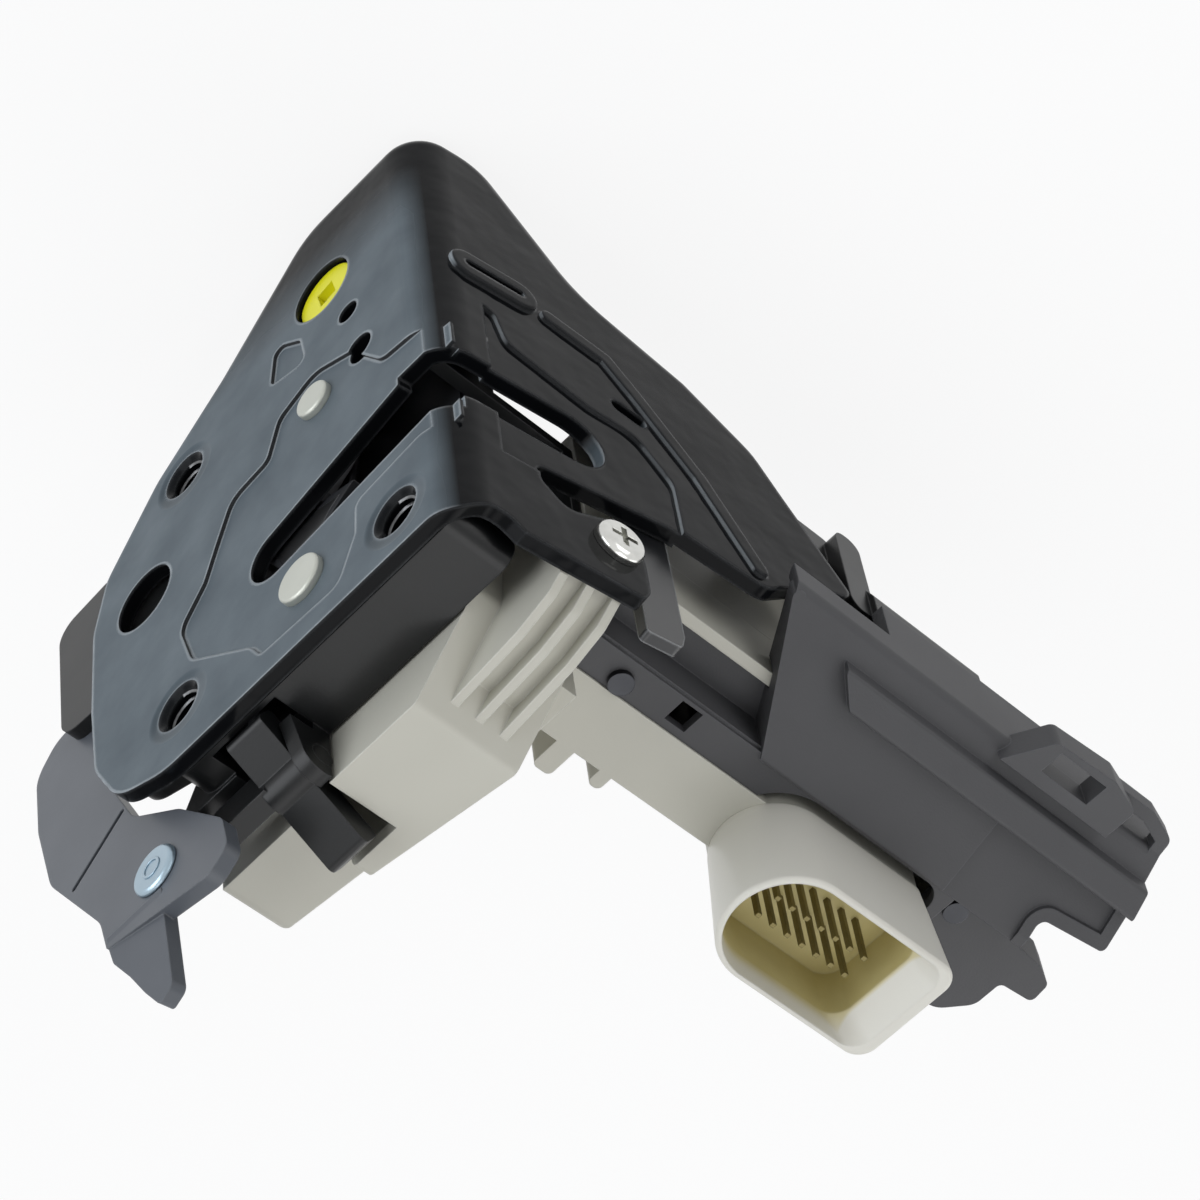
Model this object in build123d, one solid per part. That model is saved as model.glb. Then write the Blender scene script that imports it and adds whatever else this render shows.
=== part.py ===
"""Door latch actuator: a pressed steel latch plate with a rotary catch and pawl behind it,
and a plastic actuator arm with its motor, cover and connector. Millimetres.

X runs from the face plate into the door, Y towards the cabin, Z up. The origin is the mouth of
the threaded hole beside the flange. Places on the face plate are given as (Y, Z), places on the
flange as (distance along it from the bend, Z).
"""
from build123d import *
from math import cos, radians, sin
import os

# Clearances of turning and of standing faces
running = 0.06
clear = 0.3

# Pressed plate
sheet = 2.5
bend_radius = 7.0
rim_radius = 4.0
rim_depth = 11.0
rim_from = -60.0
flange_y = 11.4
flange_tilt = 7.0
face_bottom = 8.5
face_left = -65.0
face_top = -98.0
recess = 0.6
thread_radius = 3.4
thread_chamfer = 0.9
collar_wall = 2.4
collar_height = 4.0
bead_width = 3.0
bead_height = 0.7
louvre = ((7.5, -58.6), (16.5, -58.6))
louvre_radius = 3.4
louvre_height = 0.9
oval_slot = (35.4, -42.2)

# Places and holes on the face plate
hole_a = (-43.5, -61.0)
hole_b = (0.0, 0.0)
hole_c = (-45.5, -3.5)
big_hole = (-53.0, -38.5)
big_hole_radius = 6.0
small_hole = (-5.8, -61.1)
small_hole_radius = 2.0
middle_hole = (-4.1, -48.8)
middle_hole_radius = 2.6
disc_at = (-11.0, -74.5)
disc_radius = 5.7
disc_thickness = 2.4
disc_shaft_radius = 3.0

# Striker slot
slot_end = (-24.8, -19.2)
slot_end_radius = 5.2
mouth_low = -19.6
mouth_high = -32.8
slot_reach = 29.4
channel_gap = 1.0
channel_wall = 2.0
channel_end = 29.5

# Layers behind the face, as distances along X
layer_gap = 0.6
catch_thickness = 4.2
spring_wire = 1.2
catch_coil = 6.6
catch_legs = (150, 20)
pawl_coil = 5.0
pawl_legs = (-150, 100)
back_plate_x = 10.0
back_plate_thickness = 2.0
housing_depth = 14.0
housing_wall = 2.0

# Catch and pawl
catch_at = (-19.2, -5.5)
catch_rim = 24.0
catch_skin = 1.2
catch_back = 0.6
catch_hub = 10.6
catch_slot_width = 10.4
catch_slot_radius = 14.5
catch_slot_angle = -61.3
catch_slot_direction = -27.0
catch_from = -118.0
catch_to = -6.0
notch_depth = 3.0
notch_width = 10.0
notch_angle = -73.0
rivet_radius = 3.5
rivet_head_radius = 4.15
rivet_head_height = 1.3
pawl_at = (-14.3, -46.7)
pawl_rivet_radius = 2.6
pawl_head_radius = 3.25
pawl_hub = 7.0
pawl_reach = 28.5
pawl_angle = -118.0
pawl_nose = 4.3

# Outer release lever
lever_x = 5.5
lever_thickness = 2.5
lever_at = (-56.8, 18.3)
lever_rivet_radius = 2.6
lever_head_radius = 4.2
lever_head_height = 0.9
lever_fold_z = 24.0
lever_fold = 12.0
lever_boss_radius = 4.4
lever_boss_thickness = 2.2

# Release fork, as (X, Z) of its pivot and its place along Y
fork_at = (12.5, 13.5)
fork_y = -36.0
fork_width = 7.0
fork_slope = 34.0
fork_length = 23.0
fork_thickness = 4.2
tongue_end = -50.0
fork_ear = 2.4
fork_pin_radius = 1.8
tongue_window = ((4.0, 0.0), (11.0, 9.0))

# Inner release lever, as a place on the flange
blade_at = (37.6, -24.0)
blade_depth = sheet + recess + clear
blade_thickness = 2.0
blade_pin_radius = 2.4

# Actuator arm
arm_top = -6.0
arm_bottom = -46.0
arm_left = -17.2
arm_right = 8.7
arm_start = 33.0
arm_end = 121.0
arm_wall = 2.0
arm_corner = 4.0
tray_floor = -40.0
wall_top = -12.0
band_y = -6.0
seam_y = -1.0
ridge_y = 12.5
cover_start = 39.5
panel_start = 59.0
ridge_start = 73.0
cover_end = 141.0
cover_edge = 22.0
cover_slope = 0.34
cover_sheet = 2.2
ridge_height = 2.6
ridge_width = 5.0
lobe_y = -19.5
lobe_top = -9.6
skirt_start = 79.0
skirt_bottom = -26.0
cap_end = 80.8
# Lugs of the tray beside the cover: start along X, reach and length
tray_lugs = ((47.0, 5.4, 3.5), (55.5, 2.8, 2.4))
lug_height = 6.0
cover_window = ((56.5, -4.6), (60.5, -0.6))
cover_floor = -16.0
step_length = 30.0
clip_low = -15.5
clip_high = -10.5
cover_screws_at = ((47.0, arm_top - 0.4), (118.0, lobe_top))
cover_screw_y = band_y + 2.2
cover_screw_radius = 1.0

# Boxed end of the actuator housing
box_start = housing_depth + 0.5
box_end = 33.3
box_left_end = 28.0
box_bottom = 17.0
box_low = 15.0
box_step = -40.0
box_left = -56.5
box_column = -36.0
box_right = 2.0
box_shelf = -9.0
# Block that joins the box and the tray, as (Y, Z) corners
bridge = ((-16.0, -12.0), (-4.0, 6.0))

# Boss and tab screw, as a place on the flange
screw_at = (28.0, -1.2)
screw_radius = 2.0
screw_head_radius = 4.0
screw_head_height = 2.0
screw_length = 12.0
boss_radius = 4.6
boss_base_radius = 6.0
boss_from = 19.2
boss_to = 29.6
rib = 1.4

# Connector, as places in the plane of its mouth
connector_start = 75.2
connector_end = 111.8
connector_y = -12.2
connector_wide = 21.2
connector_mouth = 13.2
connector_taper = 1.2
connector_wall = 1.5
connector_depth = 13.0
cavity_end = 105.6
lead_in = 4.0
foot_inset = 3.4
foot_bottom = -14.0
pin_size = 0.8
pin_pitch = 3.0
pin_row_gap = 4.0
pins_in_row = 7
pins_middle = 91.5

# Motor drive
drive_y = -2.0
drive_z = -26.0
motor_x = 93.0
motor_radius = 8.0
motor_length = 24.0
screw_start = 60.0
lead_radius = 2.6
lead_core = 1.7
lead_pitch = 3.0
slider_x = 82.0
slider_length = 8.0
slider_size = 10.0
slider_travel = 12.0
link_length = 10.0
link_post_radius = 1.8
link_hub = 2.8
link_pin_radius = 1.5
groove_gap = 0.3


def face_prism(profile, start, end):
    """A profile drawn as (Y, Z), run along X from start to end."""
    return extrude(Plane.YZ.offset(start) * profile, end - start)


def side_prism(profile, start, end):
    """A profile drawn as (X, Z), run along Y from start to end."""
    plane = Plane(origin=(0, start, 0), x_dir=(1, 0, 0), z_dir=(0, -1, 0))
    return extrude(plane * profile, start - end)


def level_prism(profile, start, end):
    """A profile drawn as (X, Y), run along Z from start to end."""
    return extrude(Plane.XY.offset(start) * profile, end - start)


def along_flange(distance, depth=0.0, height=0.0):
    """A point on the flange: distance from the bend, depth behind its outer face, and Z."""
    tilt = radians(flange_tilt)
    x = distance * cos(tilt) + depth * sin(tilt)
    y = flange_y + distance * sin(tilt) - depth * cos(tilt)
    return Vector(x, y, height)


def flange_prism(profile, start, end):
    """A profile drawn as (distance along the flange, Z), run inwards between two depths."""
    tilt = radians(flange_tilt)
    inwards = Vector(sin(tilt), -cos(tilt), 0)
    plane = Plane(origin=along_flange(0, start), x_dir=(cos(tilt), sin(tilt), 0), z_dir=inwards)
    return extrude(plane * profile, end - start)


def outline(points, radii):
    """A closed face from corner points, each rounded by its own radius."""
    return make_face(FilletPolyline(*points, radius=radii, close=True))


def span(low, high):
    """A rectangle between two opposite corners."""
    middle = ((low[0] + high[0]) / 2, (low[1] + high[1]) / 2)
    return Pos(*middle) * Rectangle(high[0] - low[0], high[1] - low[1])


def block(low, high):
    """A box between two opposite corners."""
    return level_prism(span(low[:2], high[:2]), low[2], high[2])


def bar_along_x(at, radius, start, end):
    """A round bar along X, centred at (Y, Z)."""
    return face_prism(Pos(*at) * Circle(radius), start, end)


def hull(*parts):
    """The face stretched round several flat shapes."""
    edges = ShapeList()
    for part in parts:
        edges += part.edges()
    return make_hull(edges)


def polar(at, radius, angle):
    """A point at an angle from +Y towards +Z round a (Y, Z) centre."""
    return (at[0] + radius * cos(radians(angle)), at[1] + radius * sin(radians(angle)))


def save(name, shape):
    """Write one node."""
    export_step(shape, "parts/" + name + ".step")
    print(name, round(shape.volume, 1))


# Outlines of the pressed plate
face_points = [(30, face_bottom), (-49, face_bottom), (-59, 4), (-64, -7), (face_left, -22),
               (face_left, -42), (-60, rim_from), (-52, -69), (-36, -80), (-15, face_top),
               (30, face_top)]
face_radii = [0, 14, 10, 10, 8, 10, 0, 12, 12, 14, 0]
flange_top = [(56, rim_from), (50, -65), (31, -74), (14, face_top)]
flange_top_radii = [0, 6, 20, 10]
flange_points = [(-15, face_bottom), (2, face_bottom), (8, 5.5), (16, 12), (29, 11.2), (33, 7),
                 (33, -2), (28, -7.5), (20, -3.8), (15.8, -8), (16, -13), (40, -16.2), (57, -13.5),
                 (66, -21.5), (75, -25), (65, -43)] + flange_top + [(-15, face_top)]
flange_radii = [0, 4, 4, 5, 3.5, 4, 4.5, 3, 3, 2.5, 2, 3, 4, 8, 2, 6] + flange_top_radii + [0]
recess_points = [(-36.7, -34), (-39.5, -27.5), (-45, -21.5), (-42.5, -11.5), (-30, -1), (-28, 3),
                 (-12, 4), (-8, -4), (-7.5, -11), (12, -13), (12, -38), (0, -40), (-6, -50),
                 (-14, -54), (-22, -51), (-25, -43), (-33, -42)]
recess_radii = [3, 3, 4, 4, 3, 2, 3, 2, 2, 0, 0, 3, 4, 5, 3, 2, 4]


flange_pocket_points = [(9.6, -50), (11.6, -49), (13.2, -42.4), (27.6, -37.2), (35.8, -36.7),
                        (41.8, -28.5), (41.9, -10), (9.6, -10)]
flange_pocket_radii = [0, 2, 3, 4, 5, 5, 0, 0]
bead_points = [(22, -57), (32.2, -54.3), (37, -48.2), (47.1, -33.9), (55.5, -17)]
face_step_points = [(-22, -71.6), (-16.4, -66.5), (-15.6, -59.4), (-23.4, -61.8)]
face_step_radii = [1.5, 1.5, 1.5, 1.5]


def striker_profile(extra, far):
    """The striker slot as (Y, Z): a round end and straight sides that open to the mouth."""
    end = Pos(*slot_end) * Circle(slot_end_radius + extra)
    mouth = span((flange_y, mouth_high - extra), (far + flange_y, mouth_low + extra))
    return hull(end, mouth) & span((-60, -60), (far, 30))


def flange_slot(extra):
    """The striker slot where it runs on along the flange."""
    height = mouth_low - mouth_high - 0.7 + 2 * extra
    end = slot_reach + extra
    middle = (mouth_low + mouth_high) / 2
    tip = Pos(end - height / 2, middle) * Circle(height / 2)
    return hull(tip, Pos(-4, middle) * Rectangle(1, height))


def plate_block(face, side, inset):
    """Both outlines run back as one block, with its vertical and upper edges rounded."""
    deep = 110
    shape = face_prism(face, inset, deep) & flange_prism(side, inset, deep)
    corner = shape.edges().filter_by(Axis.Z).sort_by(SortBy.LENGTH)[-1]
    shape = fillet(corner, bend_radius - inset)
    foot = along_flange(0, inset)
    out = along_flange(0, -1) - along_flange(0, 0)

    def on_rim(edge):
        points = [edge.position_at(t) for t in (0, 0.5, 1)]
        on_front = all(abs(p.X - inset) < 0.01 for p in points)
        on_flange = all(abs((p - foot).dot(out)) < 0.01 for p in points)
        middle = edge.center()
        on_bend = middle.Z < face_top + inset + 0.1 and middle.X < bend_radius and middle.Y > 0
        return middle.Z < rim_from - 0.1 and (on_front or on_flange or on_bend)
    rims = ShapeList([edge for edge in shape.edges() if on_rim(edge)])
    return fillet(rims, rim_radius - inset)


def inside_plate(inset):
    """The room behind the plate, kept a distance inside its outer skin."""
    face = outline(face_points, face_radii)
    side = outline([(-15, 30), (120, 30), (120, -50)] + flange_top + [(-15, face_top)],
                   [0, 0, 0] + flange_top_radii + [0])
    open_face = offset(face, -inset) + span((-90, rim_from), (30, 30))
    open_side = offset(side, -inset) + span((-14, rim_from), (110, 29))
    return plate_block(open_face, open_side, inset)


def threaded_hole(at):
    """A tapped hole in the face: its collar behind the sheet, and what is bored out of both."""
    collar = bar_along_x(at, thread_radius + collar_wall, sheet, sheet + collar_height)
    bore = bar_along_x(at, thread_radius, -1, sheet + collar_height + 1)
    lead = Pos(0, at[0], at[1]) * Rot(0, 90, 0) * Cone(
        thread_radius + thread_chamfer, thread_radius, thread_chamfer,
        align=(Align.CENTER, Align.CENTER, Align.MIN))
    return collar, bore + lead


def flange_bead():
    """A raised bead that stiffens the flange, as one bar along its outer face."""
    line = None
    for start, end in zip(bead_points, bead_points[1:]):
        part = hull(Pos(*start) * Circle(bead_width / 2), Pos(*end) * Circle(bead_width / 2))
        line = part if line is None else line + part
    return line


def raised(profile, height, corner):
    """A raised form on the flange's outer face, with its upper edge rounded."""
    form = flange_prism(profile, 0, -height)
    out = along_flange(0, -1) - along_flange(0, 0)
    top = form.faces().filter_by(lambda f: f.normal_at().dot(out) > 0.99)
    return fillet(top.edges(), corner)


def latch_plate():
    """Face plate and flange: one pressing with a turned rim along its upper edges."""
    face = outline(face_points, face_radii)
    side = outline(flange_points, flange_radii)
    outer = plate_block(face, side, 0)
    inner = inside_plate(sheet)
    behind = face_prism(span((-90, -120), (60, 40)), rim_depth, 130)
    behind = behind & flange_prism(span((-60, -120), (120, 40)), rim_depth, 130)
    plate = outer - inner - behind
    for points, radii in ((recess_points, recess_radii), (face_step_points, face_step_radii)):
        pocket = outline(points, radii)
        plate += face_prism(pocket, sheet, sheet + recess)
        plate -= face_prism(pocket, -1, recess)
    pocket = outline(flange_pocket_points, flange_pocket_radii)
    plate += flange_prism(pocket & side, sheet, sheet + recess)
    plate -= flange_prism(pocket, -1, recess)
    bead = flange_bead()
    plate += raised(bead, bead_height, bead_height / 2)
    plate -= flange_prism(offset(bead, -bead_height / 2), sheet - bead_height, sheet + 1)
    oval = hull(*[Pos(*end) * Circle(louvre_radius) for end in louvre])
    plate += raised(oval, louvre_height, louvre_height / 2)
    slit = hull(*[Pos(*end) * Circle(louvre_height) for end in louvre])
    plate -= flange_prism(slit, -2, sheet + 1)
    plate -= face_prism(striker_profile(0, 30), -1, sheet + recess + 1)
    plate -= flange_prism(flange_slot(0), -6, 9)
    for at in (hole_a, hole_b, hole_c):
        collar, bore = threaded_hole(at)
        plate += collar
        plate -= bore
    for at, radius in ((big_hole, big_hole_radius), (small_hole, small_hole_radius),
                       (middle_hole, middle_hole_radius), (disc_at, disc_radius + clear),
                       (catch_at, rivet_radius), (pawl_at, pawl_rivet_radius)):
        plate -= bar_along_x(at, radius, -2, sheet + recess + 1)
    plate -= flange_prism(Pos(*screw_at) * Circle(screw_radius + 0.2), -2, sheet + 1)
    plate -= flange_prism(Pos(*oval_slot) * Rot(0, 0, 15) * SlotOverall(6.5, 3), -2, sheet + 1)
    return plate


def sector(radius, first, last):
    """A pie slice round the catch pivot between two angles."""
    steps = 12
    points = [catch_at]
    for i in range(steps + 1):
        points.append(polar(catch_at, radius, first + (last - first) * i / steps))
    return make_face(Polyline(*points, close=True))


def catch_profile(inset):
    """The catch as (Y, Z): hub, two prongs about the striker slot, and the pawl's notch."""
    rim = catch_rim - inset
    turn = inset / catch_rim * 57.3
    lobes = (Pos(*catch_at) * Circle(rim)) & sector(2 * rim, catch_from + turn, catch_to - turn)
    shape = lobes + Pos(*catch_at) * Circle(catch_hub - inset)
    base = polar(catch_at, catch_slot_radius, catch_slot_angle)
    far = (base[0] + 30 * cos(radians(catch_slot_direction)),
           base[1] + 30 * sin(radians(catch_slot_direction)))
    half = catch_slot_width / 2 + inset
    shape -= hull(Pos(*base) * Circle(half), Pos(*far) * Circle(half + 1.5))
    notch = polar(catch_at, catch_rim + 1, notch_angle)
    cut = Rectangle(2 * (notch_depth + 1 + inset), notch_width + 2 * inset)
    shape -= Pos(*notch) * Rot(0, 0, notch_angle) * cut
    return shape


def layer():
    """Where the catch and pawl start and end along X."""
    start = sheet + recess + layer_gap
    return start, start + catch_thickness


def rotary_catch():
    """Hardened steel core of the catch."""
    start, end = layer()
    core = face_prism(catch_profile(catch_skin), start, end)
    return core - bar_along_x(catch_at, rivet_radius + running, start - 1, end + 1)


def catch_overmould():
    """Plastic moulded round the edge of the catch and over its back, which quietens the striker."""
    start, end = layer()
    skin = catch_profile(0) - catch_profile(catch_skin)
    back = catch_profile(0) - Pos(*catch_at) * Circle(catch_hub - 2)
    return face_prism(skin, start, end) + face_prism(back, end, end + catch_back)


def pawl_profile():
    """The pawl as (Y, Z): hub, nose beside the catch rim, and a tail that the levers push."""
    nose = polar(catch_at, pawl_reach, pawl_angle)
    shape = hull(Pos(*pawl_at) * Circle(pawl_hub), Pos(*nose) * Circle(pawl_nose))
    tail = (pawl_at[0] + 15.5, pawl_at[1] - 8.5)
    shape += hull(Pos(*pawl_at) * Circle(pawl_hub - 1.5), Pos(*tail) * Circle(3))
    return shape - Pos(*catch_at) * Circle(catch_rim + clear)


def pawl():
    start, end = layer()
    shape = face_prism(pawl_profile(), start, end)
    return shape - bar_along_x(pawl_at, pawl_rivet_radius + running, start - 1, end + 1)


def pawl_buffer():
    """Rubber stop on the back plate under the tail of the pawl."""
    start = layer()[0] + 0.8
    at = (pawl_at[0] + 16.0, pawl_at[1] - 15.0)
    stop = face_prism(Pos(*at) * RectangleRounded(6.5, 6.0, 1.5), start, back_plate_x)
    return stop - face_prism(offset(pawl_profile(), clear), start - 1, back_plate_x + 1)


def rivet(at, radius, head_radius):
    """A shouldered rivet from its proud head on the face to the back plate."""
    seat = recess
    shank = bar_along_x(at, radius, seat, back_plate_x + back_plate_thickness)
    head = bar_along_x(at, head_radius, seat - rivet_head_height, seat)
    head = fillet(head.faces().sort_by(Axis.X)[0].edges(), 0.5)
    return shank + head


def coil(at, radius, start, legs):
    """A flat torsion spring: one turn round a rivet and two straight legs."""
    x = start + spring_wire / 2
    shape = Pos(x, at[0], at[1]) * Rot(0, 90, 0) * Torus(radius, spring_wire / 2)
    for angle in legs:
        foot = polar(at, radius, angle)
        shape += Pos(x, foot[0], foot[1]) * Rot(angle, 0, 0) * Rot(-90, 0, 0) * Cylinder(
            spring_wire / 2 - 0.02, 8, align=(Align.CENTER, Align.CENTER, Align.MIN))
    return shape


def back_plate():
    """Steel plate behind the catch that holds the inner ends of both rivets."""
    points = [(5.5, 4.0), (-38, 4.0), (-42, 0), (-42, -30), (-44, -50), (-34, -70), (-22, -80),
              (-3, -80), (5.5, -70)]
    plate = face_prism(outline(points, [4, 4, 4, 8, 8, 6, 4, 4, 4]), back_plate_x,
                       back_plate_x + back_plate_thickness)
    plate -= face_prism(striker_profile(channel_gap, 30), back_plate_x - 1, housing_depth)
    plate -= bar_along_x(catch_at, rivet_radius, back_plate_x - 1, housing_depth)
    plate -= bar_along_x(pawl_at, pawl_rivet_radius, back_plate_x - 1, housing_depth)
    plate -= bar_along_x(disc_at, disc_shaft_radius + 2.4, back_plate_x - 1, housing_depth)
    return plate


core_points = [(8.4, 7.5), (-50, 7.5), (-50, -66), (-34.5, -76.6), (-13.6, -95.4), (8.4, -95.4)]
core_radii = [3, 4, 6, 8, 8, 4]
ear_points = [(-30, 6.5), (-48, 6.5), (-57, 3), (-62, -8), (-63.2, -22), (-66, -29), (-76, -30),
              (-77.5, -59), (-66, -60), (-58, -57), (-49, -65), (-30, -60)]
ear_radii = [0, 8, 8, 8, 4, 3, 4, 4, 2, 4, 4, 0]
ear_depth = 2.4


def latch_housing():
    """Black plastic housing behind the face: a shell round the catch, with the striker channel."""
    core = outline(core_points, core_radii)
    shape = face_prism(core, sheet + recess, housing_depth)
    room = offset(core, -housing_wall)
    shape += face_prism(outline(ear_points, ear_radii), sheet + recess, sheet + recess + ear_depth)
    shape += face_prism(striker_profile(channel_gap + channel_wall, 8.4), housing_depth,
                        channel_end)
    boss = hull(Pos(*lever_at) * Circle(lever_boss_radius), Pos(-44, 1) * Circle(6))
    seat = lever_x + lever_thickness + clear
    shape += face_prism(boss, seat, seat + lever_boss_thickness)
    near = fork_y + fork_width / 2 + clear
    ear = hull(Pos(*fork_at) * Circle(4.0), Pos(fork_at[0] - 2, 6.5) * Rectangle(9, 1))
    ear = side_prism(ear, near, near + fork_ear)
    shape += ear & block((2, -60, 0), (housing_depth, 0, 30))
    shape -= block((lever_x + lever_thickness, tongue_end - 1.2, 8.2), (housing_depth + 1, near, 30))
    shape -= face_prism(room, sheet - 1, back_plate_x + back_plate_thickness)
    shape += bar_along_x(disc_at, disc_shaft_radius + 2.4, sheet + disc_thickness + clear,
                         back_plate_x + back_plate_thickness)
    shape -= bar_along_x(disc_at, disc_shaft_radius + running, sheet, housing_depth + 1)
    shape -= face_prism(striker_profile(channel_gap, 30), sheet - 1, channel_end - channel_wall)
    shape -= bar_along_x(lever_at, lever_rivet_radius, 0, housing_depth + 1)
    shape -= side_prism(Pos(*fork_at) * Circle(fork_pin_radius + running), -60, 0)
    shape -= side_prism(span(*tongue_window), fork_y - fork_width, near + fork_ear)
    for at in (hole_a, hole_b, hole_c):
        shape -= bar_along_x(at, thread_radius + collar_wall + clear, 0, sheet + collar_height + clear)
    return shape & inside_plate(sheet + clear)


def emergency_lock_disc():
    """Yellow disc with a tool slot, on a shaft that turns in the housing."""
    start = recess + 0.4
    disc = bar_along_x(disc_at, disc_radius, start, start + disc_thickness)
    disc += bar_along_x(disc_at, disc_shaft_radius, start, housing_depth - 0.6)
    tool = Pos(*disc_at) * Rot(0, 0, 80) * Rectangle(2 * disc_radius * 0.34, 3.4)
    return disc - face_prism(tool, start - 1, start + 1.5)


lever_points = [(-71, -34), (-79.6, -36.6), (-85, -31), (-84, -17), (-80.6, -1.4), (-69, 18),
                (-67.5, 25), (-55.7, 27.5), (-46, 29.6), (-42, 27), (-43, 20), (-52, 9), (-62, 1),
                (-67.5, -12)]
lever_radii = [3, 5, 6, 10, 10, 8, 0.5, 0.5, 3, 2.5, 4, 8, 8, 10]
tab_points = [(-67.5, 23), (-67, 28), (-64.5, 32.5), (-62.5, 37), (-60.4, 40.8), (-57.4, 39.6),
              (-55.7, 23)]
tab_radii = [0, 2, 2, 1.5, 0.8, 1.5, 0]
slit_ends = ((-75, 4.6), (-64.5, -2.8))


def outer_release_lever():
    """Steel lever that the outside handle pulls, with a slit and a tab bent away from the plate."""
    shape = face_prism(outline(lever_points, lever_radii), lever_x, lever_x + lever_thickness)
    tab = face_prism(outline(tab_points, tab_radii), lever_x, lever_x + lever_thickness)
    shape += Pos(lever_x, 0, lever_fold_z) * Rot(0, lever_fold, 0) * Pos(-lever_x, 0, -lever_fold_z) * tab
    shape -= face_prism(hull(*[Pos(*end) * Circle(0.5) for end in slit_ends]), 0, 14)
    return shape - bar_along_x(lever_at, lever_rivet_radius + running, 0, 14)


def lever_rivet():
    """Zinc plated rivet of the outer lever."""
    head = bar_along_x(lever_at, lever_head_radius, lever_x - 0.1 - lever_head_height, lever_x - 0.1)
    head = fillet(head.faces().sort_by(Axis.X)[0].edges(), 0.8)
    end = lever_x + lever_thickness + clear + lever_boss_thickness
    return head + bar_along_x(lever_at, lever_rivet_radius, lever_x - 0.1, end)


def release_fork():
    """Black plastic lever: a slanted bar, a tongue beside it and its own pivot pin."""
    place = Pos(*fork_at) * Rot(0, 0, fork_slope)
    bar = place * Pos(1.6, 0) * RectangleRounded(fork_length, fork_thickness, 1.0)
    half = fork_width / 2
    shape = side_prism(bar, fork_y - half, fork_y + half)
    shape += side_prism(Pos(*fork_at) * Circle(3.2), fork_y - half, fork_y + half)
    tongue = block((fork_at[0] - 3.2, tongue_end, fork_at[1] - 3.4),
                   (fork_at[0] + 0.4, fork_y - half + 1, fork_at[1] + 1.8))
    tongue = fillet(tongue.faces().sort_by(Axis.Y)[0].edges().filter_by(Axis.X), 2.2)
    shape += tongue
    pin = Pos(*fork_at) * Circle(fork_pin_radius)
    return shape + side_prism(pin, fork_y + half - 1, fork_y + half + clear + fork_ear)


def inner_release_lever():
    """Steel blade behind the flange; the inside handle's cable swings its lower end."""
    points = [(34.4, 9.9), (40.6, 9.4), (41.4, 6.5), (41.2, -24), (37.6, -29.5), (33.8, -25), (34.2, -8)]
    shape = flange_prism(outline(points, [0.8, 1, 2, 3.4, 3.4, 3, 6]), blade_depth,
                         blade_depth + blade_thickness)
    return shape - flange_prism(Pos(*blade_at) * Circle(blade_pin_radius + running), 0, 9)


def blade_pin():
    """Shouldered pin that carries the inner lever on the flange."""
    end = blade_depth + blade_thickness + 0.2
    pin = flange_prism(Pos(*blade_at) * Circle(blade_pin_radius), sheet + recess, end)
    return pin + flange_prism(Pos(*blade_at) * Circle(blade_pin_radius + 1.1), end, end + 1)


def tab_screw():
    """Plated screw through the flange tab into the boss."""
    head = flange_prism(Pos(*screw_at) * Circle(screw_head_radius), -screw_head_height, 0)
    outer = head.faces().sort_by(Axis.Y)[-1]
    head = fillet(outer.edges(), 1.2)
    recess_bar = Pos(*screw_at) * Rectangle(4.4, 1.0)
    cross = recess_bar + Pos(*screw_at) * Rectangle(1.0, 4.4)
    head -= flange_prism(cross, -screw_head_height - 1, -screw_head_height + 1.2)
    return head + flange_prism(Pos(*screw_at) * Circle(screw_radius), 0, screw_length)


def screw_boss():
    """Boss under the flange tab: a core round the screw and ribs that fan down to the box."""
    top = along_flange(screw_at[0], 0, screw_at[1])
    core = Pos(top.X, top.Y, top.Z) * Rot(0, 0, flange_tilt) * Rot(90, 0, 0) * Cone(
        boss_radius, boss_base_radius, 18, align=(Align.CENTER, Align.CENTER, Align.MIN))
    fan = outline([(15, -6.5), (15, 6), (2, 10.8), (-6, 12), (-11, 12), (-11, -6.5)],
                  [0, 3, 3, 0, 0, 0])
    tall = outline([(15, -6.5), (15, 6), (8.8, 11), (2, 13.2), (-13, 15.2), (-13, -6.5)],
                   [0, 2, 3, 3, 0, 0])
    boss = core + face_prism(fan, boss_from, boss_to)
    gap = (boss_to - boss_from - rib) / 2
    for i in range(3):
        boss += face_prism(tall, boss_from + i * gap, boss_from + i * gap + rib)
    return boss - flange_prism(span((-20, -60), (80, 60)), -30, sheet)


def box_profile():
    """The boxed end as (Y, Z)."""
    points = [(box_left, box_low), (box_step, box_low), (box_step, box_bottom), (-13.5, box_bottom),
              (0, 4.5), (box_right, box_shelf), (box_column, box_shelf), (box_column, arm_bottom),
              (box_left, arm_bottom)]
    return outline(points, [2, 0.5, 1, 2, 2, 2, 1, 2, 2])


def box_plan():
    """The boxed end as (X, Y), with its slanted far side."""
    points = [(box_start, box_right), (box_start, box_step), (box_start + 1.9, box_step),
              (box_start + 1.9, box_left), (box_left_end, box_left), (box_left_end + 1.6, box_step),
              (box_end, -14), (box_end, box_right)]
    return outline(points, [0, 0, 0, 1.5, 2, 2, 2, 0])


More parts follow.
